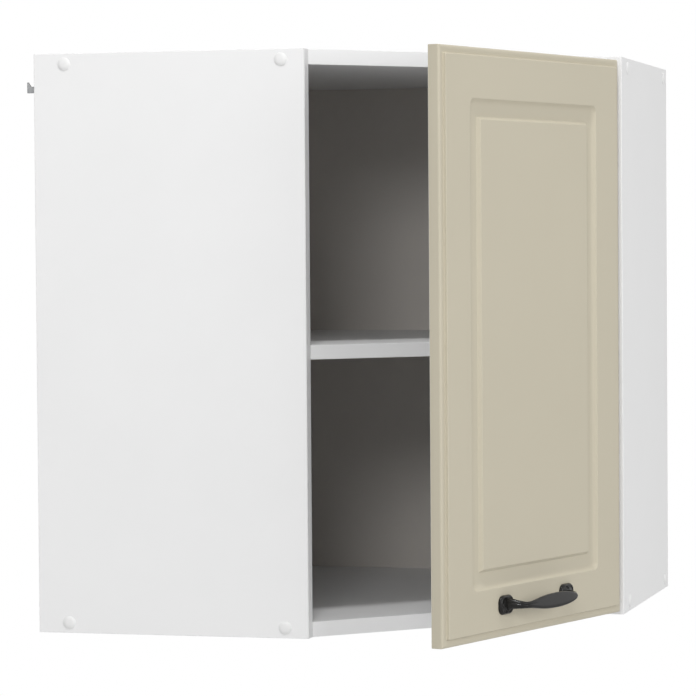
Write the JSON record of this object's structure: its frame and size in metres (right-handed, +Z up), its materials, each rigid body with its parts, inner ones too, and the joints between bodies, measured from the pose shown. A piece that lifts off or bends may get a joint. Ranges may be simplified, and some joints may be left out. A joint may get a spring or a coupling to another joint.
{
  "type": "corner wall cabinet",
  "caption": "White corner wall cabinet for hanging in a room corner, with a diagonal framed door on folding-link hinges, a shelf and a cast bow handle.",
  "frame": {"origin": "bottom of the edge where the two walls of the room meet", "axes": "+Z up; the left wall is the plane x = 0 and the right wall is the plane y = 0; the cabinet fills +X and -Y and its door faces +X, -Y"},
  "size_m": [0.5983, 0.6823, 0.614],
  "materials": {
    "carcass_board": "white melamine on chipboard, satin",
    "back_board": "white lacquered hardboard, satin",
    "door_foil": "warm cream foil on milled fibreboard, satin",
    "handle_metal": "cast zinc alloy, satin dark grey",
    "white_plastic": "moulded, satin",
    "soft_plastic": "translucent soft plastic",
    "hinge_nickel": "nickel plated",
    "zinc_steel": "zinc plated"
  },
  "bodies": {
    "carcass": {"bottom_panel": "carcass_board", "left_back_nails": "zinc_steel", "left_back_panel": "back_board", "left_hanger_adjusters": "zinc_steel", "left_hanger_housing": "white_plastic", "left_hanger_screws": "zinc_steel", "left_panel_screws": "zinc_steel", "left_screw_caps": "white_plastic", "left_shelf_pins": "zinc_steel", "left_side_panel": "carcass_board", "lower_hinge_arm": "hinge_nickel", "lower_hinge_arm_pins": "zinc_steel", "lower_hinge_arm_screws": "zinc_steel", "lower_hinge_plate": "hinge_nickel", "lower_hinge_plate_screws": "zinc_steel", "right_back_nails": "zinc_steel", "right_back_panel": "back_board", "right_hanger_adjusters": "zinc_steel", "right_hanger_housing": "white_plastic", "right_hanger_screws": "zinc_steel", "right_panel_screws": "zinc_steel", "right_screw_caps": "white_plastic", "right_shelf_pins": "zinc_steel", "right_side_panel": "carcass_board", "shelf": "carcass_board", "top_panel": "carcass_board", "upper_hinge_arm": "hinge_nickel", "upper_hinge_arm_pins": "zinc_steel", "upper_hinge_arm_screws": "zinc_steel", "upper_hinge_plate": "hinge_nickel", "upper_hinge_plate_screws": "zinc_steel"},
    "left_hook": {"left_hanger_hook": "zinc_steel"},
    "right_hook": {"right_hanger_hook": "zinc_steel"},
    "long_links": {"lower_hinge_long_links": "hinge_nickel", "upper_hinge_long_links": "hinge_nickel"},
    "short_links": {"lower_hinge_short_link": "hinge_nickel", "upper_hinge_short_link": "hinge_nickel"},
    "door": {"door_bumpers": "soft_plastic", "door_panel": "door_foil", "handle": "handle_metal", "handle_screws": "zinc_steel", "lower_hinge_cup": "hinge_nickel", "lower_hinge_cup_pins": "zinc_steel", "lower_hinge_cup_screws": "zinc_steel", "upper_hinge_cup": "hinge_nickel", "upper_hinge_cup_pins": "zinc_steel", "upper_hinge_cup_screws": "zinc_steel"}
  },
  "joints": [
    {"name": "door_swing", "type": "hinge", "parent": "long_links", "child": "door", "pos_m": [0.56336, -0.31361, 0.307], "axis": [0, 0, 1], "range_deg": [-39.59, 91.9]},
    {"name": "long_link_swing", "type": "hinge", "parent": "carcass", "child": "long_links", "pos_m": [0.53246, -0.32784, 0.307], "axis": [0, 0, 1], "range_deg": [-29.1, 12.59]},
    {"name": "short_link_swing", "type": "hinge", "parent": "carcass", "child": "short_links", "pos_m": [0.55297, -0.32148, 0.307], "axis": [0, 0, 1], "range_deg": [-51.87, 22.4]},
    {"name": "left_hook_reach", "type": "slide", "parent": "carcass", "child": "left_hook", "axis": [-1, 0, 0], "range_m": [-0.012, 0.003]},
    {"name": "right_hook_reach", "type": "slide", "parent": "carcass", "child": "right_hook", "axis": [0, 1, 0], "range_m": [-0.012, 0.003]}
  ],
  "couplings": [
    {"joint": "long_link_swing", "follows": "door_swing", "ratio": -0.31554},
    {"joint": "short_link_swing", "follows": "door_swing", "ratio": -0.56331}
  ]
}
